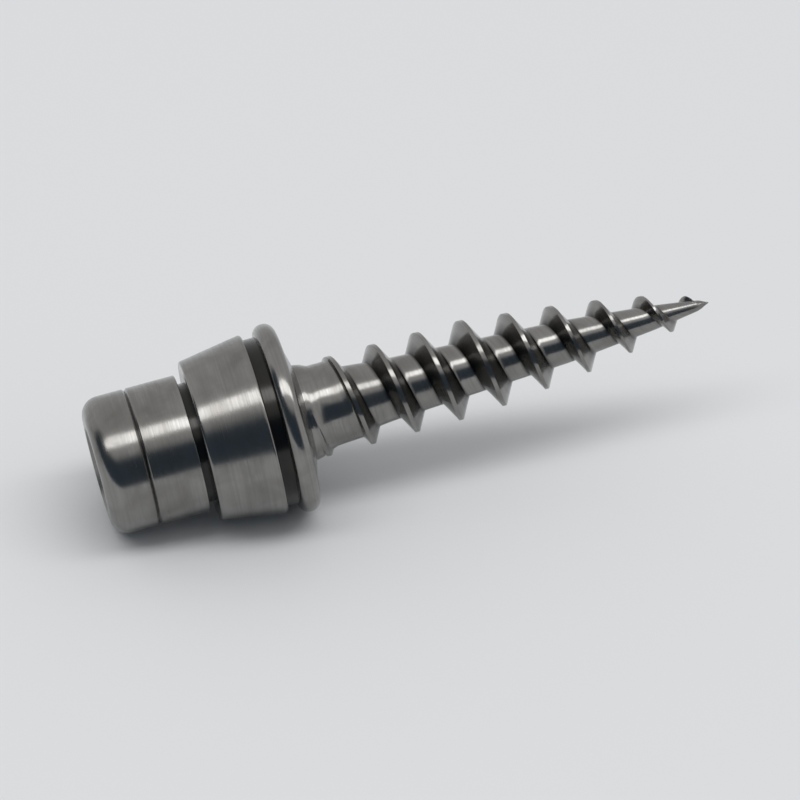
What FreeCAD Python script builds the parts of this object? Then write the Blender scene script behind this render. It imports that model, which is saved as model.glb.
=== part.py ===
import FreeCAD, Part
import math
import os
import Sketcher

# Orthodontic mini screw, turned in one piece from a titanium alloy bar: a round
# driving head, a flared collar and a flange that stay above the gum, and a
# self-drilling shank whose single right-hand thread tapers to a sharp point.
#
# The screw is drawn upside down: the flange's underside is height 0, the point
# is up and the head is down. It is then laid on the floor as it comes to rest,
# on the rims of its head and its flange, with the point a little raised.

os.makedirs("parts", exist_ok=True)
doc = FreeCAD.newDocument("orthodontic_mini_screw")

# Driving sizes, in millimetres, degrees and turns

SIZES = (
    # Head, collar and flange, along the axis from the head's end
    ("head_dia", 2.62, "round head"),
    ("head_length", 1.83, "head's end to the undercut"),
    ("head_round", 0.34, "rounding of the head's end"),
    ("ring_from_end", 0.87, "head's end to the middle of the fine ring groove"),
    ("ring_width", 0.09, "fine V groove round the head, at its mouth"),
    ("ring_depth", 0.04, "fine V groove round the head"),
    ("undercut_depth", 0.18, "undercut below the head, from the head's surface"),
    ("undercut_width", 0.15, "undercut below the head"),
    ("collar_flare", 0.18, "how far the collar widens towards the flange"),
    ("collar_length", 1.24, "collar along the axis"),
    ("collar_chamfer", 0.05, "broken edges of the collar"),
    ("groove_depth", 0.11, "groove behind the flange, from the collar's edge"),
    ("groove_width", 0.23, "groove behind the flange"),
    ("collar_setback", 0.09, "flange's rim to the collar's edge beside it"),
    ("flange_dia", 3.60, "flange"),
    ("flange_thickness", 0.40, "flange at its rim"),
    ("flange_round", 0.19, "rounding of both edges of the flange"),
    ("flange_margin", 0.35, "flange's rim to where its underside starts to fall to the neck"),
    ("flange_cone_height", 0.14, "flange's underside to the neck"),
    # Drive recess in the head's end
    ("socket_flats", 1.25, "hexagon recess across its flats"),
    ("socket_depth", 1.00, "hexagon recess"),
    ("socket_mouth_dia", 1.62, "countersunk mouth of the recess"),
    ("socket_mouth_depth", 0.12, "countersunk mouth of the recess"),
    ("socket_drill_dia", 1.10, "drill that opened the recess"),
    ("socket_drill_cone", 0.25, "cone the drill left in the floor"),
    # Core of the shank, its places given from the flange's underside
    ("shank_length", 8.00, "flange's underside to the point"),
    ("neck_dia", 1.82, "plain neck below the flange"),
    ("neck_length", 0.26, "end of the plain neck"),
    ("root_top_dia", 1.40, "thread's root where the neck has run into it"),
    ("root_top_at", 0.58, "place of that root"),
    ("root_upper_dia", 1.16, "thread's root where its fast taper ends"),
    ("root_upper_at", 1.75, "place of that root"),
    ("root_lower_dia", 0.80, "thread's root where the point begins"),
    ("root_lower_at", 5.20, "place of that root"),
    ("root_point_dia", 0.46, "thread's root in the point"),
    ("root_point_at", 6.90, "place of that root"),
    ("tip_dia", 0.20, "root where the thread has died out and the bare tip begins"),
    ("tip_length", 0.20, "bare tip"),
    # Thread, its places given from the flange's underside
    ("pitch", 0.85, "single start, right hand"),
    ("flank_angle", 28.0, "each flank to a plane square to the axis"),
    ("crest_flat", 0.08, "flat along the crest of the straight turns"),
    ("thread_start", 0.20, "start of the thread, buried in the neck"),
    ("thread_dia", 1.80, "over the crests of the straight turns"),
    ("crest_straight_to", 3.40, "end of the straight turns"),
    ("crest_lower_dia", 1.32, "over the crests where they close in faster"),
    ("crest_lower_at", 5.60, "place of that crest"),
    ("crest_point_dia", 0.82, "over the crests on the point"),
    ("crest_point_at", 7.00, "place of that crest"),
    ("crest_nose_dia", 0.47, "over the last crest, from which the thread dies out"),
    ("crest_nose_at", 7.60, "place of that crest"),
    ("foot_share", 0.70, "foot of the tooth inside the core, as a share of the core"),
    ("buried_share", 0.80, "crest at the thread's end, as a share of the core there"),
    ("thread_clock", 234.0, "turn of the thread about the screw's own axis"),
)

sheet = doc.addObject("Spreadsheet::Sheet", "sizes")
for row, (name, value, meaning) in enumerate(SIZES, start=1):
    sheet.set("A%d" % row, name)
    sheet.set("B%d" % row, str(value))
    sheet.set("C%d" % row, meaning)
    sheet.setAlias("B%d" % row, name)
doc.recompute()

# Heights of the shoulders, each stacked on the one before it

COLLAR_FOOT = "-(sizes.flange_thickness + sizes.groove_width)"
COLLAR_TOP = COLLAR_FOOT + " - sizes.collar_length"
HEAD_FOOT = COLLAR_TOP + " - sizes.undercut_width"
HEAD_END = HEAD_FOOT + " - sizes.head_length"

# Radii that follow from the flange's and the head's

COLLAR_WIDE = "sizes.flange_dia / 2 - sizes.collar_setback"
COLLAR_NARROW = COLLAR_WIDE + " - sizes.collar_flare"
GROOVE_FLOOR = COLLAR_WIDE + " - sizes.groove_depth"
UNDERCUT_FLOOR = "sizes.head_dia / 2 - sizes.undercut_depth"
CONE_RIM = "sizes.flange_dia / 2 - sizes.flange_margin"

body = doc.addObject("PartDesign::Body", "blank_body")


def size(name):
    """The plain number held by a named cell."""
    return float(sheet.get(name))


def origin(role):
    """One of the body's own origin planes or axes."""
    return [item for item in body.Origin.OriginFeatures if item.Role == role][0]


def outline(name, corners, plane="XZ_Plane"):
    """A closed sketch, each corner held by two expressions on the named sizes."""
    sketch = body.newObject("Sketcher::SketchObject", name)
    sketch.AttachmentSupport = [(origin(plane), "")]
    sketch.MapMode = "FlatFace"
    doc.recompute()
    places = [
        FreeCAD.Vector(sketch.evalExpression(across), sketch.evalExpression(up), 0)
        for across, up in corners
    ]
    count = len(corners)
    for i in range(count):
        sketch.addGeometry(Part.LineSegment(places[i], places[(i + 1) % count]))
    for i in range(count):
        sketch.addConstraint(Sketcher.Constraint("Coincident", i, 2, (i + 1) % count, 1))
    for i, (across, up) in enumerate(corners):
        for kind, letter, number, rule in (
            ("DistanceX", "x", places[i].x, across),
            ("DistanceY", "y", places[i].y, up),
        ):
            added = sketch.addConstraint(Sketcher.Constraint(kind, -1, 1, i, 1, number))
            sketch.renameConstraint(added, "%s%d" % (letter, i))
            sketch.setExpression("Constraints.%s%d" % (letter, i), rule)
    doc.recompute()
    return sketch


def turned_groove(name, corners):
    """A groove turned about the axis, with the section that the corners give."""
    volume = body.Shape.Volume
    section = outline(name + "_section", corners)
    groove = body.newObject("PartDesign::Groove", name)
    groove.Profile = section
    groove.ReferenceAxis = (section, ["V_Axis"])
    groove.Angle = 360
    doc.recompute()
    if groove.Shape.Volume >= volume:
        raise RuntimeError("the groove " + name + " cuts nothing")
    return groove


def rim_edges(radius, heights):
    """Names of the round edges of the body that have this radius at these heights."""
    names = []
    for number, edge in enumerate(body.Tip.Shape.Edges, start=1):
        if edge.Curve.TypeId != "Part::GeomCircle":
            continue
        if abs(edge.Curve.Radius - radius) > 1e-6:
            continue
        if min(abs(edge.Curve.Center.z - height) for height in heights) < 1e-6:
            names.append("Edge%d" % number)
    return names


def dressed(kind, name, cell, rims):
    """A fillet or chamfer of a named size on round edges, given as radius and heights."""
    base = body.Tip
    edges = []
    for radius, heights in rims:
        found = rim_edges(radius, heights)
        if len(found) != len(heights):
            raise RuntimeError("an edge is missing for " + name)
        edges += found
    feature = body.newObject("PartDesign::" + kind, name)
    feature.Base = (base, edges)
    feature.setExpression("Radius" if kind == "Fillet" else "Size", "sizes." + cell)
    doc.recompute()
    return feature


# Turned blank, from the head's end to the point

section = outline("blank_section", [
    ("0 mm", HEAD_END),
    ("sizes.head_dia / 2", HEAD_END),
    ("sizes.head_dia / 2", HEAD_FOOT),
    (UNDERCUT_FLOOR, HEAD_FOOT),
    (UNDERCUT_FLOOR, COLLAR_TOP),
    (COLLAR_NARROW, COLLAR_TOP),
    (COLLAR_WIDE, COLLAR_FOOT),
    (GROOVE_FLOOR, COLLAR_FOOT),
    (GROOVE_FLOOR, "-sizes.flange_thickness"),
    ("sizes.flange_dia / 2", "-sizes.flange_thickness"),
    ("sizes.flange_dia / 2", "0 mm"),
    (CONE_RIM, "0 mm"),
    ("sizes.neck_dia / 2", "sizes.flange_cone_height"),
    ("sizes.neck_dia / 2", "sizes.neck_length"),
    ("sizes.root_top_dia / 2", "sizes.root_top_at"),
    ("sizes.root_upper_dia / 2", "sizes.root_upper_at"),
    ("sizes.root_lower_dia / 2", "sizes.root_lower_at"),
    ("sizes.root_point_dia / 2", "sizes.root_point_at"),
    ("sizes.tip_dia / 2", "sizes.shank_length - sizes.tip_length"),
    ("0 mm", "sizes.shank_length"),
])
blank = body.newObject("PartDesign::Revolution", "blank")
blank.Profile = section
blank.ReferenceAxis = (section, ["V_Axis"])
blank.Angle = 360
doc.recompute()

head_end = section.evalExpression(HEAD_END)
collar_top = section.evalExpression(COLLAR_TOP)
collar_foot = section.evalExpression(COLLAR_FOOT)
flange_radius = size("flange_dia") / 2

dressed("Fillet", "head_end_rounding", "head_round", [(size("head_dia") / 2, [head_end])])
dressed("Chamfer", "collar_edges", "collar_chamfer", [
    (section.evalExpression(COLLAR_NARROW), [collar_top]),
    (section.evalExpression(COLLAR_WIDE), [collar_foot]),
])
dressed("Fillet", "flange_rounding", "flange_round", [
    (flange_radius, [-size("flange_thickness"), 0.0]),
])
turned_groove("ring_groove", [
    ("sizes.head_dia / 2 - sizes.ring_depth", HEAD_END + " + sizes.ring_from_end"),
    ("sizes.head_dia / 2 + sizes.ring_depth",
     HEAD_END + " + sizes.ring_from_end - sizes.ring_width"),
    ("sizes.head_dia / 2 + sizes.ring_depth",
     HEAD_END + " + sizes.ring_from_end + sizes.ring_width"),
])

# Drive recess: a drilled and countersunk hexagon

turned_groove("socket_mouth", [
    ("0 mm", HEAD_END),
    ("sizes.socket_mouth_dia / 2", HEAD_END),
    ("sizes.socket_mouth_dia / 2 - sizes.socket_mouth_depth",
     HEAD_END + " + sizes.socket_mouth_depth"),
    ("0 mm", HEAD_END + " + sizes.socket_mouth_depth"),
])
turned_groove("socket_drilling", [
    ("0 mm", HEAD_END),
    ("sizes.socket_drill_dia / 2", HEAD_END),
    ("sizes.socket_drill_dia / 2", HEAD_END + " + sizes.socket_depth"),
    ("0 mm", HEAD_END + " + sizes.socket_depth + sizes.socket_drill_cone"),
])
hexagon = outline("socket_hexagon", [
    ("sizes.socket_flats / sqrt(3) * cos(%d)" % turn,
     "sizes.socket_flats / sqrt(3) * sin(%d)" % turn)
    for turn in range(0, 360, 60)
], "XY_Plane")
hexagon.setExpression("AttachmentOffset.Base.z", HEAD_END)
doc.recompute()
volume = body.Shape.Volume
socket = body.newObject("PartDesign::Pocket", "socket")
socket.Profile = hexagon
socket.Reversed = True
socket.setExpression("Length", "sizes.socket_depth")
doc.recompute()
if socket.Shape.Volume >= volume:
    raise RuntimeError("the drive recess cuts nothing")

# Thread: one V-shaped tooth wound on a single right-hand helix, from inside the
# neck to the bare tip. Its crest runs straight and then closes in on the point,
# its foot stays sunk in the core, and its section is drawn at steps of a turn.

STEPS_A_TURN = 48
CURVE_TOLERANCE = 0.0003

thread_end = size("shank_length") - size("tip_length")
turns = (thread_end - size("thread_start")) / size("pitch")
CORE = (
    (size("neck_length"), size("neck_dia") / 2),
    (size("root_top_at"), size("root_top_dia") / 2),
    (size("root_upper_at"), size("root_upper_dia") / 2),
    (size("root_lower_at"), size("root_lower_dia") / 2),
    (size("root_point_at"), size("root_point_dia") / 2),
    (thread_end, size("tip_dia") / 2),
)
CREST = (
    (size("crest_straight_to"), size("thread_dia") / 2),
    (size("crest_lower_at"), size("crest_lower_dia") / 2),
    (size("crest_point_at"), size("crest_point_dia") / 2),
    (size("crest_nose_at"), size("crest_nose_dia") / 2),
    (thread_end, size("buried_share") * size("tip_dia") / 2),
)


def radius_at(height, stations):
    """Radius at a height, on straight lines from station to station."""
    radius = stations[0][1]
    for (low, first), (high, second) in zip(stations, stations[1:]):
        if height > low:
            radius = first + (second - first) * (min(height, high) - low) / (high - low)
    return radius


def tooth_section(turn):
    """Corners of the tooth after so many turns: foot, crest, crest and foot."""
    height = size("thread_start") + turn * size("pitch")
    crest = radius_at(height, CREST)
    foot = size("foot_share") * radius_at(height, CORE)
    half_crest = size("crest_flat") / 2 * crest / CREST[0][1]
    half_foot = half_crest + (crest - foot) * math.tan(math.radians(size("flank_angle")))
    outward = FreeCAD.Rotation(FreeCAD.Vector(0, 0, 1), 360 * turn).multVec(
        FreeCAD.Vector(1, 0, 0)
    )
    return [
        outward * radius + FreeCAD.Vector(0, 0, height + rise)
        for radius, rise in (
            (foot, -half_foot), (crest, -half_crest), (crest, half_crest), (foot, half_foot)
        )
    ]


def tooth_turn(start, end):
    """The four faces of one turn of the tooth, ruled between its corner curves."""
    steps = [start + (end - start) * i / STEPS_A_TURN for i in range(STEPS_A_TURN + 1)]
    edges = []
    for path in zip(*[tooth_section(step) for step in steps]):
        curve = Part.BSplineCurve()
        curve.approximate(
            Points=list(path), DegMin=3, DegMax=8, Tolerance=CURVE_TOLERANCE, Continuity="C2"
        )
        edges.append(curve.toShape())
    return [
        Part.makeRuledSurface(edge, following, 1)
        for edge, following in zip(edges, edges[1:] + edges[:1])
    ]


pieces = math.ceil(turns)
faces = []
for piece in range(pieces):
    faces += tooth_turn(turns * piece / pieces, turns * (piece + 1) / pieces)
for turn in (0, turns):
    corners = tooth_section(turn)
    faces.append(Part.Face(Part.makePolygon(corners + corners[:1])))
shell = Part.makeShell(faces)
shell.sewShape()
tooth_shape = Part.makeSolid(shell)
if tooth_shape.Volume < 0:
    tooth_shape.reverse()
tooth = doc.addObject("Part::Feature", "thread_tooth")
tooth.Shape = tooth_shape
tooth.Placement = FreeCAD.Placement()

screw = doc.addObject("Part::Fuse", "mini_screw")
screw.Label = "mini_screw"
screw.Base = body
screw.Tool = tooth
screw.Refine = False
doc.recompute()
if screw.Shape.Volume <= body.Shape.Volume:
    raise RuntimeError("the thread adds nothing")

# Rest: the floor touches the rounded end of the head and the rounded head-side
# edge of the flange, so the axis rises by the slope of the line that is tangent
# to both roundings

head_round = size("head_round")
flange_round = size("flange_round")
head_centre = FreeCAD.Vector(size("head_dia") / 2 - head_round, 0, head_end + head_round)
flange_centre = FreeCAD.Vector(
    flange_radius - flange_round, 0, flange_round - size("flange_thickness")
)
between = flange_centre - head_centre
rise = math.atan2(between.x, between.z) - math.asin((head_round - flange_round) / between.Length)
lift = head_centre.x * math.cos(rise) - head_centre.z * math.sin(rise) + head_round
point_reach = size("shank_length") * math.cos(rise)
head_reach = head_centre.z * math.cos(rise) - head_centre.x * math.sin(rise) - head_round

tip_up = FreeCAD.Rotation(FreeCAD.Vector(0, 1, 0), 90 - math.degrees(rise))
clock = FreeCAD.Rotation(FreeCAD.Vector(0, 0, 1), size("thread_clock"))
screw.Placement = FreeCAD.Placement(
    FreeCAD.Vector(-(point_reach + head_reach) / 2, 0, lift), tip_up.multiply(clock)
)
doc.recompute()

# Nothing is written unless every object is sound

for item in doc.Objects:
    if "Invalid" in item.State or "Error" in item.State:
        raise RuntimeError(item.Name + " failed")
shape = screw.Shape
if shape.isNull() or not shape.isValid() or len(shape.Solids) != 1:
    raise RuntimeError("the screw is not one sound solid")

shape.exportStep("parts/" + screw.Label + ".step")
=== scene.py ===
"""Orthodontic mini screw: its finely divided mesh, its machined titanium and its studio.

The screw is built in its own frame, with the flange's underside at height 0, the
point up and the head down, and is then laid on the floor where the solid lies.
"""

import math

import bmesh
import bpy
from mathutils import Matrix, Vector


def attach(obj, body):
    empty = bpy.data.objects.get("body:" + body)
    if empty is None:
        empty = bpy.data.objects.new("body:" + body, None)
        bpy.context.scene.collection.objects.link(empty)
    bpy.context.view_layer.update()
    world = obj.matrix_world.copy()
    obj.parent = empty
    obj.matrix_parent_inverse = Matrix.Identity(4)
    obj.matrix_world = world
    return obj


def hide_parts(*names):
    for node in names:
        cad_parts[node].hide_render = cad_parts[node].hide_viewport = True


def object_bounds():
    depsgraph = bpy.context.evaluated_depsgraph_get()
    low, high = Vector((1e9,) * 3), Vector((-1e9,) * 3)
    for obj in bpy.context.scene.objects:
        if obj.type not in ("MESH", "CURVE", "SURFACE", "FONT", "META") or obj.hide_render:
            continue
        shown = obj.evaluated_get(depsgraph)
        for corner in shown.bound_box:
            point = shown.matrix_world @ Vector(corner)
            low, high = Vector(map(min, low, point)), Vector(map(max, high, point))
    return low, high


bl_info = {
    "name": "Orthodontic Mini Screw",
    "version": (1, 0, 0),
    "blender": (4, 5, 0),
    "location": "View3D > Sidebar > Mini Screw",
    "description": "Builds a self-drilling orthodontic mini screw and its studio",
    "category": "Add Mesh",
}

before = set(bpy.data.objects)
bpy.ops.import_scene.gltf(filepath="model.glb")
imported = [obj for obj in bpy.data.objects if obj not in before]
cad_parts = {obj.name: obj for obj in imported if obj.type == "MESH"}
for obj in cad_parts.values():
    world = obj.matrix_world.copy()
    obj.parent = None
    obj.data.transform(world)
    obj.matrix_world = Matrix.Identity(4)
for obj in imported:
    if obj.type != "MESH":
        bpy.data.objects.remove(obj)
cad_low, cad_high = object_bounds()

MM = 0.001
NODE = "mini_screw"
TURNED_MAP = "turned"
# Name of the vertex mask of painted shade and painted fill light.
PAINTED_LIGHT_MASK = "hollow"
RING_SHADE = 0.6

# Finish of the mesh: a place in metres is told apart to this many decimals, a crest's
# broken edge falls by a share of its width, and the hollow at a tooth's foot is filled
# by a share of its size, with mesh rows that reach a little past it.
PLACE_DECIMALS = 8
WELD_SHARE = 1 / 200
SHARP_FROM = math.radians(38)
CREST_DROP = 0.1
FOOT_FILL = 0.25
FOOT_REACH = 1.2

# Where the metal's oxide, streaks, painted shade in the hollows and rougher marks and patches
# start to show, and where they are strongest.
OXIDE_BAND = (0.40, 0.68)
STREAK_BAND = (0.85, 1.2)
HOLLOW_SHADE_BAND = (0.25, 1.0)
ROUGH_MARK_BAND = (0.3, 0.7)
ROUGH_PATCH_BAND = (0.35, 0.7)

# Height of the fine marks beside the broad ones, and the sheen's turn to the marks.
FINE_HEIGHT = 0.5
QUARTER_TURN = 0.25

# Sockets of a Mix node that carry colours.
MIX_FIRST, MIX_SECOND, MIX_RESULT = 6, 7, 2


# Kinds of setting


def length(name, about, millimetres):
    """A length, with its default in millimetres."""
    return bpy.props.FloatProperty(
        name=name,
        description=about,
        default=millimetres * MM,
        min=0.0,
        precision=6,
        subtype="DISTANCE",
        unit="LENGTH",
    )


def angle(name, about, degrees):
    """An angle, with its default in degrees."""
    return bpy.props.FloatProperty(
        name=name,
        description=about,
        default=math.radians(degrees),
        subtype="ANGLE",
        unit="ROTATION",
    )


def share(name, about, value, top=1.0):
    """A plain number from nought up to the given top."""
    return bpy.props.FloatProperty(
        name=name, description=about, default=value, min=0.0, max=top
    )


def count(name, about, value):
    """A whole number of steps."""
    return bpy.props.IntProperty(name=name, description=about, default=value, min=2)


def tint(name, about, red, green, blue):
    """A colour, in linear light."""
    return bpy.props.FloatVectorProperty(
        name=name,
        description=about,
        default=(red, green, blue),
        min=0.0,
        max=1.0,
        size=3,
        subtype="COLOR",
    )


# Sizes and colours


class HeadSizes(bpy.types.PropertyGroup):
    """Head, collar and flange, in order from the head's end."""

    head_dia: length("Head", "Diameter of the round head", 2.62)
    head_length: length("Head length", "Head's end to the undercut", 1.83)
    head_round: length("Head rounding", "Rounding of the head's end", 0.34)
    ring_from_end: length("Ring place", "Head's end to the fine ring groove", 0.87)
    ring_width: length("Ring width", "Mouth of the fine V groove", 0.09)
    ring_depth: length("Ring depth", "Depth of the fine V groove", 0.04)
    undercut_depth: length("Undercut", "Depth of the undercut below the head", 0.18)
    undercut_width: length("Undercut width", "Undercut along the axis", 0.15)
    collar_flare: length("Collar flare", "How far the collar widens", 0.18)
    collar_length: length("Collar length", "Collar along the axis", 1.24)
    collar_edge: length("Collar edges", "Rounding of the collar's edges", 0.05)
    collar_setback: length("Collar setback", "Flange's rim to the collar", 0.09)
    groove_depth: length("Groove", "Groove behind the flange", 0.11)
    groove_width: length("Groove width", "Groove along the axis", 0.23)
    flange_dia: length("Flange", "Diameter of the flange", 3.60)
    flange_thickness: length("Flange thickness", "Flange at its rim", 0.40)
    flange_round: length("Flange rounding", "Both edges of the flange", 0.19)
    flange_margin: length("Flange margin", "Rim to where the underside falls", 0.35)
    flange_cone_height: length("Flange cone", "Underside to the neck", 0.14)
    socket_flats: length("Recess", "Hexagon recess across its flats", 1.25)
    socket_depth: length("Recess depth", "Depth of the hexagon recess", 1.00)
    socket_mouth_dia: length("Recess mouth", "Countersunk mouth", 1.62)
    socket_mouth_depth: length("Mouth depth", "Depth of the countersink", 0.12)
    socket_drill_dia: length("Recess drilling", "Drill that opened the recess", 1.10)
    socket_drill_cone: length("Drill cone", "Cone in the recess floor", 0.25)
    broken_edge: length("Broken edges", "Rounding of the small edges", 0.02)


class ShankSizes(bpy.types.PropertyGroup):
    """Core and thread of the shank, places given from the flange's underside."""

    shank_length: length("Shank", "Flange's underside to the point", 8.00)
    neck_dia: length("Neck", "Plain neck below the flange", 1.82)
    neck_length: length("Neck end", "End of the plain neck", 0.26)
    root_top_dia: length("Top root", "Root where the neck has run into it", 1.40)
    root_top_at: length("Top root place", "Place of that root", 0.58)
    root_upper_dia: length("Upper root", "Root where its fast taper ends", 1.16)
    root_upper_at: length("Upper root place", "Place of that root", 1.75)
    root_lower_dia: length("Lower root", "Root where the point begins", 0.80)
    root_lower_at: length("Lower root place", "Place of that root", 5.20)
    root_point_dia: length("Point root", "Root in the point", 0.46)
    root_point_at: length("Point root place", "Place of that root", 6.90)
    tip_dia: length("Tip", "Root where the bare tip begins", 0.20)
    tip_length: length("Tip length", "Bare tip", 0.20)
    pitch: length("Pitch", "Single start, right hand", 0.85)
    flank_angle: angle("Flank angle", "Flank to a plane square to the axis", 28.0)
    crest_flat: length("Crest flat", "Flat along the crest", 0.08)
    crest_edge: length("Crest edges", "Broken edges of the crest", 0.01)
    thread_start: length("Thread start", "Start of the thread in the neck", 0.20)
    thread_dia: length("Thread", "Over the crests of the straight turns", 1.80)
    crest_straight_to: length("Straight turns", "End of the straight turns", 3.40)
    crest_lower_dia: length("Lower crest", "Where the crests close in faster", 1.32)
    crest_lower_at: length("Lower crest place", "Place of that crest", 5.60)
    crest_point_dia: length("Point crest", "Crests on the point", 0.82)
    crest_point_at: length("Point crest place", "Place of that crest", 7.00)
    crest_nose_dia: length("Last crest", "From which the thread dies out", 0.47)
    crest_nose_at: length("Last crest place", "Place of that crest", 7.60)
    buried_share: share("Buried crest", "Last crest, as a share of the core", 0.80)
    groove_start_dia: length("Groove start", "Core where the groove runs in", 1.66)
    groove_run_in: share("Groove run-in", "Turns over which it deepens", 0.42)
    root_hollow: length("Root hollow", "Hollow between flanks and core", 0.03)
    root_shade: length("Root shade", "Dark band on the core beside each foot", 0.06)
    core_blend: length("Core blend", "Softening between the core's tapers", 0.06)
    thread_clock: angle("Thread clock", "Turn of the thread about the axis", 234.0)


class MeshSteps(bpy.types.PropertyGroup):
    """How finely the round forms are divided."""

    round_steps: count("Steps a turn", "Steps of one whole turn, in sixes", 180)
    rounding_steps: count("Rounding steps", "Steps of a quarter rounding", 10)
    edge_steps: count("Edge steps", "Steps of a small broken edge", 3)
    flank_steps: count("Flank steps", "Steps up each flank of the thread", 3)
    root_steps: count("Root steps", "Steps along the root between turns", 5)


class TitaniumLook(bpy.types.PropertyGroup):
    """Colours and finish of the machined titanium alloy."""

    bare: tint("Bare metal", "Freshly cut titanium alloy", 0.265, 0.26, 0.251)
    dull: tint("Dull metal", "Metal where its oxide is thicker", 0.17, 0.164, 0.155)
    # Lighter colour for the drive recess: painted fill light where its walls and floor lie in
    # shade.
    painted_recess_fill: tint("Broached metal", "Walls and floor of the recess", 0.45, 0.44, 0.425)
    # Near-black colour laid into the roots, grooves, undercut and ring: painted shade.
    painted_hollow_shade: tint("Hollows", "Metal in roots and grooves", 0.016, 0.0155, 0.015)
    roughness: share("Roughness", "Roughness of the turned faces", 0.15)
    roughness_spread: share("Roughness spread", "How far it varies", 0.15)
    fine_marks: length("Fine marks", "Spacing of the fine turning marks", 0.035)
    broad_marks: length("Broad marks", "Spacing of the broad turning marks", 0.16)
    marks_height: length("Mark height", "Height of the turning marks", 0.0012)
    fine_reach: share("Fine reach", "Radians that a fine mark runs round", 1.5, 6.0)
    broad_reach: share("Broad reach", "Radians that a broad mark runs round", 3.0, 6.0)
    patches: length("Patches", "Size of the patches of oxide", 0.7)
    oxide: share("Oxide", "Strength of the patches", 0.8)
    streaks: share("Streaks", "Strength of the streaks in the marks", 0.5)
    # How far the painted shade darkens the deepest hollows.
    deepest_shade: share("Darkest", "How far the deepest grooves darken", 0.9)
    turned_sheen: share("Turned sheen", "How far the sheen is drawn out", 0.5)


class StudioLook(bpy.types.PropertyGroup):
    """Floor, light and camera."""

    floor_tone: tint("Floor", "Pale floor", 0.73, 0.74, 0.75)
    floor_size: length("Floor size", "Side of the square floor", 4000.0)
    view_round: angle("Camera round", "Camera's turn round the screw", -13.75)
    view_up: angle("Camera height", "Camera's angle above the floor", 39.5)
    distance: length("Camera distance", "Camera to the screw's middle", 118.0)
    lens: bpy.props.FloatProperty(
        name="Lens", description="Focal length in millimetres", default=285.0, min=1.0
    )
    tent: tint("Tent", "Glow of the light tent", 0.70, 0.70, 0.70)
    opening: tint("Opening", "Glow in the tent's dark front opening", 0.06, 0.085, 0.115)
    opening_round: angle("Opening middle", "Its middle's turn round the screw", -42.0)
    opening_top: angle("Opening top", "Top of the dark opening", 47.0)
    opening_side: angle("Opening side", "Side of the dark opening", 76.0)
    opening_blur: angle("Opening blur", "Softness of its edge", 10.0)
    strip_up: angle("Strip height", "Strip light's angle above the floor", 77.7)
    strip_distance: length("Strip distance", "Strip light to the screw", 500.0)
    strip_length: length("Strip length", "Strip light along the screw", 1000.0)
    strip_width: length("Strip width", "Strip light across the screw", 160.0)
    strip_power: share("Strip power", "Power of the strip light, watts", 1.6, 100.0)


class MiniScrewSettings(bpy.types.PropertyGroup):
    """Everything that a user would change."""

    head: bpy.props.PointerProperty(type=HeadSizes)
    shank: bpy.props.PointerProperty(type=ShankSizes)
    steps: bpy.props.PointerProperty(type=MeshSteps)
    titanium: bpy.props.PointerProperty(type=TitaniumLook)
    studio: bpy.props.PointerProperty(type=StudioLook)


# Form of the screw


def on_lines(height, stations):
    """Radius at a height, on straight lines from station to station."""
    radius = stations[0][1]
    for (low, first), (high, second) in zip(stations, stations[1:]):
        if height > low:
            radius = first + (second - first) * (min(height, high) - low) / (high - low)
    return radius


def arc(centre, radius, start, end, steps):
    """Points of an arc as (radius from the axis, height), angles in degrees."""
    points = []
    for i in range(steps + 1):
        bearing = math.radians(start + (end - start) * i / steps)
        points.append((
            centre[0] + radius * math.cos(bearing),
            centre[1] + radius * math.sin(bearing),
        ))
    return points


def held_run(start, end, hold):
    """Two points just inside a straight run, which keep its shading straight."""
    run = Vector(end) - Vector(start)
    inset = run.normalized() * min(hold, run.length / 3)
    return [tuple(Vector(start) + inset), tuple(Vector(end) - inset)]


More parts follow.
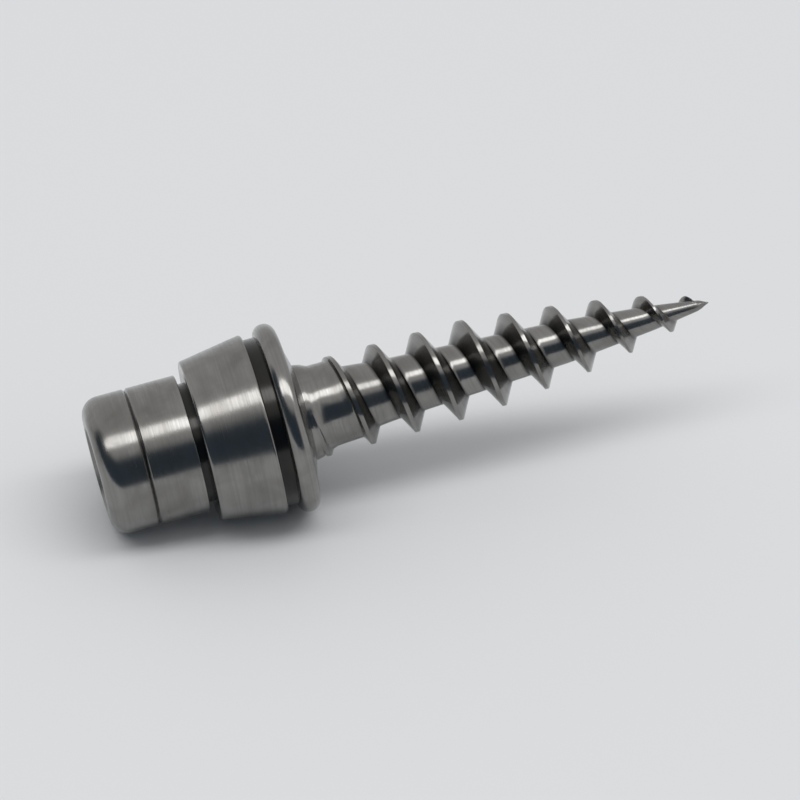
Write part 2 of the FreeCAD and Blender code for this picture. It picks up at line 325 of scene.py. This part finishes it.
class Screw:
    """The named sizes worked out into outlines and radii, in metres."""

    def __init__(self, sizes):
        self.head = head = sizes.head
        self.shank = shank = sizes.shank
        self.steps = sizes.steps
        self.collar_foot = -(head.flange_thickness + head.groove_width)
        self.collar_top = self.collar_foot - head.collar_length
        self.head_foot = self.collar_top - head.undercut_width
        self.head_end = self.head_foot - head.head_length
        self.head_radius = head.head_dia / 2
        self.flange_radius = head.flange_dia / 2
        self.thread_end = shank.shank_length - shank.tip_length
        self.deepest = (shank.thread_dia - shank.root_upper_dia) / 2
        self.core_lines = (
            (shank.neck_length, shank.neck_dia / 2),
            (shank.root_top_at, shank.root_top_dia / 2),
            (shank.root_upper_at, shank.root_upper_dia / 2),
            (shank.root_lower_at, shank.root_lower_dia / 2),
            (shank.root_point_at, shank.root_point_dia / 2),
            (self.thread_end, shank.tip_dia / 2),
            (shank.shank_length, 0.0),
        )
        self.crest_lines = (
            (shank.crest_straight_to, shank.thread_dia / 2),
            (shank.crest_lower_at, shank.crest_lower_dia / 2),
            (shank.crest_point_at, shank.crest_point_dia / 2),
            (shank.crest_nose_at, shank.crest_nose_dia / 2),
            (self.thread_end, shank.buried_share * shank.tip_dia / 2),
        )

    def core(self, height):
        """Radius of the core, softened where one taper runs into the next."""
        soft = self.shank.core_blend
        places = (-soft, -soft / 2, 0.0, soft / 2, soft)
        radii = [on_lines(height + place, self.core_lines) for place in places]
        return sum(radii) / len(radii)

    def groove_floor(self, height, centre):
        """Radius of the core beside the tooth centred at centre, on the height's side."""
        core = self.core(height)
        wound = (centre - self.shank.thread_start) / self.shank.pitch
        if height < centre:
            wound -= 1.0
        cut = min(max(wound / self.shank.groove_run_in, 0.0), 1.0)
        cut = cut * cut * (3 - 2 * cut)
        return core + max(self.shank.groove_start_dia / 2 - core, 0.0) * (1 - cut)

    def tooth(self, centre):
        """Crest radius and half crest flat of the tooth there."""
        crest = on_lines(centre, self.crest_lines)
        return crest, self.shank.crest_flat / 2 * crest / self.crest_lines[0][1]

    def surface(self, height, centre):
        """Radius of core and tooth at a height, for the tooth centred at centre."""
        core = self.groove_floor(height, centre)
        if not self.shank.thread_start <= centre <= self.thread_end:
            return core
        crest, half_crest = self.tooth(centre)
        edge = self.shank.crest_edge
        past = max(abs(height - centre) - half_crest, 0.0)
        tooth = crest - past / math.tan(self.shank.flank_angle)
        if past == 0.0 and abs(height - centre) > half_crest - edge:
            tooth = crest - edge * CREST_DROP
        near = max(1 - abs(core - tooth) / self.shank.root_hollow, 0.0)
        return max(core, tooth) + near * near * self.shank.root_hollow * FOOT_FILL

    def foot(self, centre, way):
        """How far a tooth stands out on one side, and half its width at that foot."""
        crest, half_crest = self.tooth(centre)
        edge = self.shank.crest_edge
        floor = self.groove_floor(centre + way * edge / 2, centre)
        rise = max(crest - floor, 2 * edge)
        return rise, half_crest + rise * math.tan(self.shank.flank_angle)

    def side_rows(self, centre, way):
        """Heights of the mesh rows from a tooth's middle out to one of its feet."""
        _, half_crest = self.tooth(centre)
        _, half_foot = self.foot(centre, way)
        edge = min(self.shank.crest_edge, half_crest / 2)
        hollow = self.shank.root_hollow * math.tan(self.shank.flank_angle) * FOOT_REACH
        top = half_crest + edge
        foot = max(half_foot - hollow, top + edge)
        base = max(half_foot, foot + edge)
        flank = [
            top + (foot - top) * i / self.steps.flank_steps
            for i in range(1, self.steps.flank_steps + 1)
        ]
        rises = [half_crest - edge, half_crest, top, *flank, base, base + hollow]
        return [centre + way * rise for rise in rises]

    def rows(self, centre):
        """Heights of the mesh rows over one tooth, from its lower foot upwards."""
        return self.side_rows(centre, -1)[::-1] + self.side_rows(centre, 1)

    def recess_outline(self, bearing):
        """Outline of the drive recess at a bearing, from its middle to its mouth."""
        head = self.head
        sixth = math.radians(60)
        off_flat = (bearing % sixth) - sixth / 2
        wall = head.socket_flats / 2 / math.cos(off_flat)
        floor = self.head_end + head.socket_depth
        mouth = head.socket_mouth_dia / 2
        foot = max(mouth - head.socket_mouth_depth, wall)
        ledge = self.head_end + mouth - foot
        return [
            (head.socket_drill_dia / 4, floor + head.socket_drill_cone / 2),
            (head.socket_drill_dia / 2, floor),
            (wall, floor),
            (wall, floor - head.broken_edge),
            (wall, (floor + ledge) / 2),
            (wall, ledge),
            (foot, ledge),
            (mouth, self.head_end),
        ]

    def head_outline(self):
        """Outline of head, collar and flange, from the recess mouth to the neck."""
        head, steps = self.head, self.steps
        broken = head.broken_edge
        radius, end = self.head_radius, self.head_end
        ring = end + head.ring_from_end
        half_ring = head.ring_width / 2
        under = radius - head.undercut_depth
        wide = self.flange_radius - head.collar_setback
        narrow = wide - head.collar_flare
        edge = head.collar_edge
        groove = wide - head.groove_depth
        rim, thick, round_ = self.flange_radius, head.flange_thickness, head.flange_round
        cone = rim - head.flange_margin
        neck = self.shank.neck_dia / 2
        slope = math.degrees(math.atan2(head.collar_flare, head.collar_length))
        runs = [
            held_run((head.socket_mouth_dia / 2, end), (radius - head.head_round, end), broken),
            arc((radius - head.head_round, end + head.head_round), head.head_round,
                -90, 0, steps.rounding_steps),
            held_run((radius, end + head.head_round), (radius, ring - half_ring), broken),
            [(radius, ring - half_ring), (radius - head.ring_depth, ring),
             (radius, ring + half_ring)],
            held_run((radius, ring + half_ring), (radius, self.head_foot - broken), broken),
            arc((radius - broken, self.head_foot - broken), broken, 0, 90, steps.edge_steps),
            [(under, self.head_foot), (under, self.collar_top)],
            arc((narrow - edge, self.collar_top + edge), edge,
                -90, -slope, steps.edge_steps),
            held_run((narrow, self.collar_top + edge), (wide, self.collar_foot - edge), broken),
            arc((wide - edge, self.collar_foot - edge), edge,
                -slope, 90, steps.edge_steps),
            [(groove, self.collar_foot), (groove, -thick)],
            arc((rim - round_, round_ - thick), round_, -90, 0, steps.rounding_steps),
            arc((rim - round_, -round_), round_, 0, 90, steps.rounding_steps),
            held_run((rim - round_, 0.0), (cone, 0.0), broken),
            [(cone, 0.0)],
        ]
        points = [point for run in runs for point in run]
        points += held_run((cone, 0.0), (neck, head.flange_cone_height), broken)
        return points + [(neck, head.flange_cone_height)]

    def foot_shade(self, height, centre):
        """Painted shade beside the tooth centred at centre, from 0 to 1, by how far a point
        lies down.
        """
        if not self.shank.thread_start <= centre <= self.thread_end:
            return 0.0
        rise, half_foot = self.foot(centre, -1 if height < centre else 1)
        deep = min(rise / self.deepest, 1.0)
        off = abs(height - centre)
        if off < half_foot:
            return deep * (off / half_foot) ** 2
        return deep * max(1 - (off - half_foot) / self.shank.root_shade, 0.0)

    def head_shade_and_fill(self, radius, height):
        """Painted light on the head, by how far a point lies down: painted shade up to 1 in the
        undercut, groove and ring, painted fill light down to -1 in the recess.
        """
        head = self.head
        mouth = head.socket_mouth_dia / 2
        ring = self.head_end + head.ring_from_end
        if height < self.head_foot:
            if radius > mouth:
                in_ring = abs(height - ring) < head.ring_width / 2
                return RING_SHADE if in_ring and radius < self.head_radius else 0.0
            return -min(max(height - self.head_end, 0.0) / (head.socket_depth / 2), 1.0)
        if height <= self.collar_top:
            return min((self.head_radius - radius) / head.undercut_depth, 1.0)
        if self.collar_foot <= height <= -head.flange_thickness:
            wide = self.flange_radius - head.collar_setback
            return min(max(wide - radius, 0.0) / head.groove_depth, 1.0)
        return 0.0

    def laid_down(self):
        """Placement on the floor, on the roundings of the head's end and the flange."""
        head = self.head
        head_centre = Vector((self.head_radius - head.head_round, 0.0,
                              self.head_end + head.head_round))
        flange_centre = Vector((self.flange_radius - head.flange_round, 0.0,
                                head.flange_round - head.flange_thickness))
        between = flange_centre - head_centre
        smaller = (head.head_round - head.flange_round) / between.length
        rise = math.atan2(between.x, between.z) - math.asin(smaller)
        lift = (head_centre.x * math.cos(rise) - head_centre.z * math.sin(rise)
                + head.head_round)
        point_reach = self.shank.shank_length * math.cos(rise)
        head_reach = (head_centre.z * math.cos(rise) - head_centre.x * math.sin(rise)
                      - head.head_round)
        return (
            Matrix.Translation((-(point_reach + head_reach) / 2, 0.0, lift))
            @ Matrix.Rotation(math.pi / 2 - rise, 4, "Y")
            @ Matrix.Rotation(self.shank.thread_clock, 4, "Z")
        )


# Mesh of the screw


class MeshMaker:
    """Collects rings and wound strips of points, in the screw's own frame.

    The map "turned" goes once round for each turn and along the outline in millimetres.
    """

    def __init__(self):
        self.mesh = bmesh.new()
        self.turned = self.mesh.loops.layers.uv.new(TURNED_MAP)
        # Vertex mask of painted light: painted shade above nought, painted fill light below.
        self.hollow = self.mesh.verts.layers.float.new(PAINTED_LIGHT_MASK)
        self.places = {}

    def point(self, turn, place, run, hollow=0.0):
        """A new vertex from its turn, its radius and height and its way along them."""
        radius, height = place
        bearing = 2 * math.pi * turn
        made = self.mesh.verts.new(
            (radius * math.cos(bearing), radius * math.sin(bearing), height)
        )
        # The vertex's share of painted shade or painted fill light.
        made[self.hollow] = hollow
        self.places[made] = (turn, run / MM)
        return made

    def face(self, corners):
        """A smooth face, left out where its corners fall together."""
        spots = {tuple(round(c, PLACE_DECIMALS) for c in corner.co) for corner in corners}
        if len(spots) < 3:
            return
        made = self.mesh.faces.new(corners)
        made.smooth = True
        turns = [self.places[corner][0] for corner in corners]
        for loop, turn in zip(made.loops, turns):
            closes_ring = max(turns) - turn > 0.5
            loop[self.turned].uv = (turn + closes_ring, self.places[loop.vert][1])

    def join(self, one, other, closed):
        """Quads between two rows of points, which run round where they are closed."""
        total = len(one)
        for i in range(total if closed else total - 1):
            j = (i + 1) % total
            self.face([one[i], one[j], other[j], other[i]])

    def cap(self, ring, height, run):
        """A fan from a ring to the axis."""
        for i, corner in enumerate(ring):
            middle = self.point(self.places[corner][0], (0.0, height), run,
                                corner[self.hollow])
            self.face([corner, ring[(i + 1) % len(ring)], middle])

    def finished(self, name, weld):
        """The welded mesh, with its faces outwards and its real edges sharp."""
        bmesh.ops.remove_doubles(self.mesh, verts=self.mesh.verts, dist=weld)
        bmesh.ops.recalc_face_normals(self.mesh, faces=self.mesh.faces)
        made = bpy.data.meshes.new(name)
        self.mesh.to_mesh(made)
        self.mesh.free()
        made.set_sharp_from_angle(angle=SHARP_FROM)
        return made


def runs_of(outline):
    """How far along it each point of an outline of (radius, height) lies."""
    runs = [0.0]
    for (r1, h1), (r2, h2) in zip(outline, outline[1:]):
        runs.append(runs[-1] + math.hypot(r2 - r1, h2 - h1))
    return runs


def wound_columns(screw, low, high):
    """Columns over one pitch each, wound along the helix, clipped at both ends.

    Each is its turn, its outline of radii and heights, and the painted shade at each place.
    """
    around, gaps = screw.steps.round_steps, screw.steps.root_steps + 1
    pitch, start = screw.shank.pitch, screw.shank.thread_start
    first = math.floor((low - start) / pitch - 1) * around
    last = math.ceil((high - start) / pitch + 1) * around
    centres = [start + pitch * i / around for i in range(first, last + around + 1)]
    rows = [screw.rows(centre) for centre in centres]
    columns = []
    for i in range(len(centres) - around):
        foot, next_foot = rows[i][-1], rows[i + around][0]
        own = [(height, centres[i]) for height in rows[i]]
        for k in range(1, gaps):
            nearest = centres[i] if k * 2 < gaps else centres[i + around]
            own.append((foot + (next_foot - foot) * k / gaps, nearest))
        own.append((next_foot, centres[i + around]))
        outline, shade_masks = [], []
        for height, centre in own:
            if low < height < high:
                outline.append((screw.surface(height, centre), height))
                shade_masks.append(screw.foot_shade(height, centre))
            else:
                clipped = min(max(height, low), high)
                outline.append((screw.core(clipped), clipped))
                shade_masks.append(0.0)
        columns.append(((first + i) / around, outline, shade_masks))
    return columns


def joined_rings(maker, screw, turns, outlines, runs):
    """Rings round the axis through an outline at each turn, joined to one another."""
    rings = []
    for k, run in enumerate(runs):
        rings.append([
            maker.point(turn, outline[k], run, screw.head_shade_and_fill(*outline[k]))
            for turn, outline in zip(turns, outlines)
        ])
    for one, other in zip(rings, rings[1:]):
        maker.join(one, other, True)
    return rings


def add_head(maker, screw, turns, low):
    """Recess, head, collar, flange and neck, down to where the thread's columns start."""
    head = screw.head
    outside = screw.head_outline() + [(screw.core(low), low)]
    outlines = [screw.recess_outline(2 * math.pi * turn) + outside for turn in turns]
    rings = joined_rings(maker, screw, turns, outlines, runs_of(outlines[0]))
    floor = screw.head_end + head.socket_depth
    maker.cap(rings[0], floor + head.socket_drill_cone, -head.socket_drill_dia / 4)


def add_thread(maker, screw, low, high):
    """Core and tooth between two heights, in columns that follow the helix."""
    columns = []
    for turn, outline, shade_masks in wound_columns(screw, low, high):
        places = zip(outline, runs_of(outline), shade_masks)
        columns.append([maker.point(turn, *place) for place in places])
    for one, other in zip(columns, columns[1:]):
        maker.join(one, other, False)


def add_tip(maker, screw, turns, high):
    """The bare tip, from where the thread's columns end to the point."""
    steps, end = screw.steps.rounding_steps, screw.shank.shank_length
    heights = [high + (end - high) * k / steps for k in range(steps)]
    outline = [(screw.core(height), height) for height in heights]
    *runs, last = runs_of(outline + [(0.0, end)])
    rings = joined_rings(maker, screw, turns, [outline] * len(turns), runs)
    maker.cap(rings[-1], end, last)


def screw_mesh(screw, name):
    """The whole screw as one closed mesh, laid down, from its recess to its point."""
    around = screw.steps.round_steps
    turns = [i / around for i in range(around)]
    low = screw.head.flange_cone_height + screw.head.broken_edge
    high = screw.thread_end + screw.shank.tip_length / 4
    maker = MeshMaker()
    add_head(maker, screw, turns, low)
    add_thread(maker, screw, low, high)
    add_tip(maker, screw, turns, high)
    made = maker.finished(name, screw.shank.crest_edge * WELD_SHARE)
    made.transform(screw.laid_down())
    return made


# Machined titanium


def node(tree, kind, inputs=(), **options):
    """A shader node with its options set and its inputs filled or linked."""
    made = tree.nodes.new(kind)
    for name, value in options.items():
        setattr(made, name, value)
    for key, value in dict(inputs).items():
        if isinstance(value, bpy.types.NodeSocket):
            tree.links.new(value, made.inputs[key])
        else:
            made.inputs[key].default_value = value
    return made


def fitted(tree, value, low, high, to_low, to_high):
    """A value fitted from one range to another and held inside it."""
    return node(tree, "ShaderNodeMapRange", {
        "Value": value, "From Min": low, "From Max": high,
        "To Min": to_low, "To Max": to_high,
    }).outputs["Result"]


def maths(tree, operation, *values):
    """One or two values put through a sum."""
    return node(tree, "ShaderNodeMath", dict(enumerate(values)),
                operation=operation).outputs["Value"]


def mixed(tree, factor, first, second):
    """One colour over another by a factor."""
    made = node(tree, "ShaderNodeMix", {"Factor": factor}, data_type="RGBA")
    for place, colour in ((MIX_FIRST, first), (MIX_SECOND, second)):
        if isinstance(colour, bpy.types.NodeSocket):
            tree.links.new(colour, made.inputs[place])
        else:
            made.inputs[place].default_value = colour
    return made.outputs[MIX_RESULT]


def with_alpha(colour):
    """A linear colour as the four numbers that a socket takes."""
    return (*colour, 1.0)


def turning_marks(tree, spacing, reach):
    """Marks of the turning tool: long round the screw and narrow along its outline."""
    turned = node(tree, "ShaderNodeUVMap", uv_map=TURNED_MAP).outputs["UV"]
    parts = node(tree, "ShaderNodeSeparateXYZ", {"Vector": turned})
    way = maths(tree, "MULTIPLY", parts.outputs["X"], 2 * math.pi)
    place = node(tree, "ShaderNodeCombineXYZ", {
        "X": maths(tree, "MULTIPLY", maths(tree, "COSINE", way), 1 / reach),
        "Y": maths(tree, "MULTIPLY", maths(tree, "SINE", way), 1 / reach),
        "Z": maths(tree, "MULTIPLY", parts.outputs["Y"], MM / spacing),
    }).outputs["Vector"]
    return node(tree, "ShaderNodeTexNoise", {
        "Vector": place, "Scale": 1.0, "Detail": 3.0, "Roughness": 0.6,
    }).outputs["Fac"]


def titanium_material(look):
    """Machined titanium alloy: turning marks, patches of oxide, painted shade in the hollows
    and painted fill light in the recess.
    """
    made = bpy.data.materials.new("machined_titanium")
    made.use_nodes = True
    tree = made.node_tree
    tree.nodes.clear()
    place = node(tree, "ShaderNodeTexCoord").outputs["Object"]
    hollow = node(tree, "ShaderNodeAttribute", attribute_name=PAINTED_LIGHT_MASK).outputs["Fac"]
    fine = turning_marks(tree, look.fine_marks, look.fine_reach)
    broad = turning_marks(tree, look.broad_marks, look.broad_reach)
    patches = node(tree, "ShaderNodeTexNoise", {
        "Vector": place, "Scale": 1.0 / look.patches, "Detail": 5.0, "Distortion": 0.6,
    }).outputs["Fac"]

    oxide = fitted(tree, patches, *OXIDE_BAND, 0.0, look.oxide)
    colour = mixed(tree, oxide, with_alpha(look.bare), with_alpha(look.dull))
    marks = maths(tree, "ADD", fine, broad)
    streaks = fitted(tree, marks, *STREAK_BAND, 0.0, look.streaks)
    colour = mixed(tree, streaks, colour, with_alpha(look.dull))
    # Painted fill light on the walls and floor of the drive recess.
    recess_fill_mask = fitted(tree, hollow, -1.0, 0.0, 1.0, 0.0)
    colour = mixed(tree, recess_fill_mask, colour, with_alpha(look.painted_recess_fill))
    # Painted shade in the grooves, the ring, the undercut and beside each tooth's foot.
    groove_shade_mask = fitted(tree, hollow, *HOLLOW_SHADE_BAND, 0.0, look.deepest_shade)
    colour = mixed(tree, groove_shade_mask, colour, with_alpha(look.painted_hollow_shade))

    varied = maths(tree, "ADD", fitted(tree, fine, *ROUGH_MARK_BAND, 0.0, 0.5),
                   fitted(tree, patches, *ROUGH_PATCH_BAND, 0.0, 0.5))
    roughness = fitted(tree, varied, 0.0, 1.0, look.roughness,
                       look.roughness + look.roughness_spread)
    height = maths(tree, "ADD", maths(tree, "MULTIPLY", fine, FINE_HEIGHT), broad)
    bump = node(tree, "ShaderNodeBump", {
        "Height": height, "Distance": look.marks_height, "Strength": 1.0,
    }).outputs["Normal"]
    around = node(tree, "ShaderNodeTangent", direction_type="UV_MAP", uv_map=TURNED_MAP)
    metal = node(tree, "ShaderNodeBsdfPrincipled", {
        "Base Color": colour, "Metallic": 1.0, "Roughness": roughness, "Normal": bump,
        "Tangent": around.outputs["Tangent"], "Anisotropic": look.turned_sheen,
        "Anisotropic Rotation": QUARTER_TURN,
    })
    node(tree, "ShaderNodeOutputMaterial", {"Surface": metal.outputs["BSDF"]})
    return made


class MESH_OT_mini_screw_build(bpy.types.Operator):
    """Build the screw in one piece: turned head, drive recess and wound thread"""

    bl_idname = "mesh.mini_screw_build"
    bl_label = "Build Mini Screw"

    def execute(self, context):
        sizes = context.scene.mini_screw
        screw = Screw(sizes)
        piece = bpy.data.objects.new("turned_screw", screw_mesh(screw, "turned_screw"))
        piece.data.materials.append(titanium_material(sizes.titanium))
        context.scene.collection.objects.link(piece)
        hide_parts(NODE)
        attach(piece, "root")
        return {"FINISHED"}


# Studio


def towards(round_, up):
    """Unit vector from the screw to a place round it and above the floor."""
    return Vector((
        math.sin(round_) * math.cos(up),
        -math.cos(round_) * math.cos(up),
        math.sin(up),
    ))


def aimed(obj, target, way, distance):
    """Puts an object at a distance from the target and turns it to face the target."""
    obj.location = target + way * distance
    obj.rotation_mode = "QUATERNION"
    obj.rotation_quaternion = (-way).to_track_quat("-Z", "Y")


def tent_world(look):
    """A light tent all round, with a dark opening low down in front."""
    world = bpy.data.worlds.new("light_tent")
    world.use_nodes = True
    tree = world.node_tree
    tree.nodes.clear()
    way = node(tree, "ShaderNodeTexCoord").outputs["Generated"]
    ahead = node(tree, "ShaderNodeVectorMath", {0: way, 1: towards(look.opening_round, 0.0)},
                 operation="DOT_PRODUCT").outputs["Value"]
    up = node(tree, "ShaderNodeSeparateXYZ", {"Vector": way}).outputs["Z"]
    blur = look.opening_blur / 2
    across = fitted(tree, ahead, math.cos(look.opening_side + blur),
                    math.cos(look.opening_side - blur), 0.0, 1.0)
    below = fitted(tree, up, math.sin(look.opening_top - blur),
                   math.sin(look.opening_top + blur), 1.0, 0.0)
    glow = mixed(tree, maths(tree, "MULTIPLY", across, below),
                 with_alpha(look.tent), with_alpha(look.opening))
    shine = node(tree, "ShaderNodeBackground", {"Color": glow, "Strength": 1.0})
    node(tree, "ShaderNodeOutputWorld", {"Surface": shine.outputs["Background"]})
    return world


def floor_material(look):
    """Plain pale card."""
    made = bpy.data.materials.new("pale_card")
    made.use_nodes = True
    card = made.node_tree.nodes["Principled BSDF"]
    card.inputs["Base Color"].default_value = with_alpha(look.floor_tone)
    card.inputs["Roughness"].default_value = 0.9
    card.inputs["Specular IOR Level"].default_value = 0.1
    return made


class SCENE_OT_mini_screw_stage(bpy.types.Operator):
    """Lay the pale floor, light the tent and set up the camera"""

    bl_idname = "scene.mini_screw_stage"
    bl_label = "Set Up Studio"

    def execute(self, context):
        look = context.scene.mini_screw.studio
        middle = (cad_low + cad_high) / 2
        half = look.floor_size / 2
        sheet = bpy.data.meshes.new("floor")
        sheet.from_pydata(
            [(-half, -half, 0), (half, -half, 0), (half, half, 0), (-half, half, 0)],
            [], [(0, 1, 2, 3)],
        )
        sheet.materials.append(floor_material(look))
        floor = bpy.data.objects.new("floor", sheet)
        context.scene.collection.objects.link(floor)

        context.scene.world = tent_world(look)

        strip = bpy.data.lights.new("strip_light", "AREA")
        strip.shape = "RECTANGLE"
        strip.size, strip.size_y = look.strip_length, look.strip_width
        strip.energy = look.strip_power
        lamp = bpy.data.objects.new("strip_light", strip)
        lamp.visible_camera = False
        context.scene.collection.objects.link(lamp)
        aimed(lamp, middle, towards(0.0, look.strip_up), look.strip_distance)

        camera = bpy.data.objects.new("camera", bpy.data.cameras.new("camera"))
        camera.data.lens = look.lens
        camera.data.clip_start, camera.data.clip_end = 0.005, 20.0
        context.scene.collection.objects.link(camera)
        aimed(camera, middle, towards(look.view_round, look.view_up), look.distance)
        context.scene.camera = camera

        context.scene.view_settings.view_transform = "Standard"
        return {"FINISHED"}


class VIEW3D_PT_mini_screw(bpy.types.Panel):
    """Sidebar panel that lists the steps"""

    bl_idname = "VIEW3D_PT_mini_screw"
    bl_label = "Mini Screw"
    bl_space_type = "VIEW_3D"
    bl_region_type = "UI"
    bl_category = "Mini Screw"

    def draw(self, context):
        column = self.layout.column()
        for step in STEPS:
            column.operator(step.bl_idname)
        for name in ("head", "shank", "steps", "titanium", "studio"):
            group = getattr(context.scene.mini_screw, name)
            box = column.box()
            box.label(text=name.capitalize())
            for key in group.__annotations__:
                box.prop(group, key)


STEPS = (MESH_OT_mini_screw_build, SCENE_OT_mini_screw_stage)
CLASSES = (
    HeadSizes,
    ShankSizes,
    MeshSteps,
    TitaniumLook,
    StudioLook,
    MiniScrewSettings,
    *STEPS,
    VIEW3D_PT_mini_screw,
)


def register():
    for cls in CLASSES:
        bpy.utils.register_class(cls)
    bpy.types.Scene.mini_screw = bpy.props.PointerProperty(type=MiniScrewSettings)


def unregister():
    del bpy.types.Scene.mini_screw
    for cls in reversed(CLASSES):
        bpy.utils.unregister_class(cls)


def main():
    """Build everything: the screw and its studio."""
    register()
    bpy.ops.mesh.mini_screw_build()
    bpy.ops.scene.mini_screw_stage()


if __name__ == "__main__":
    main()
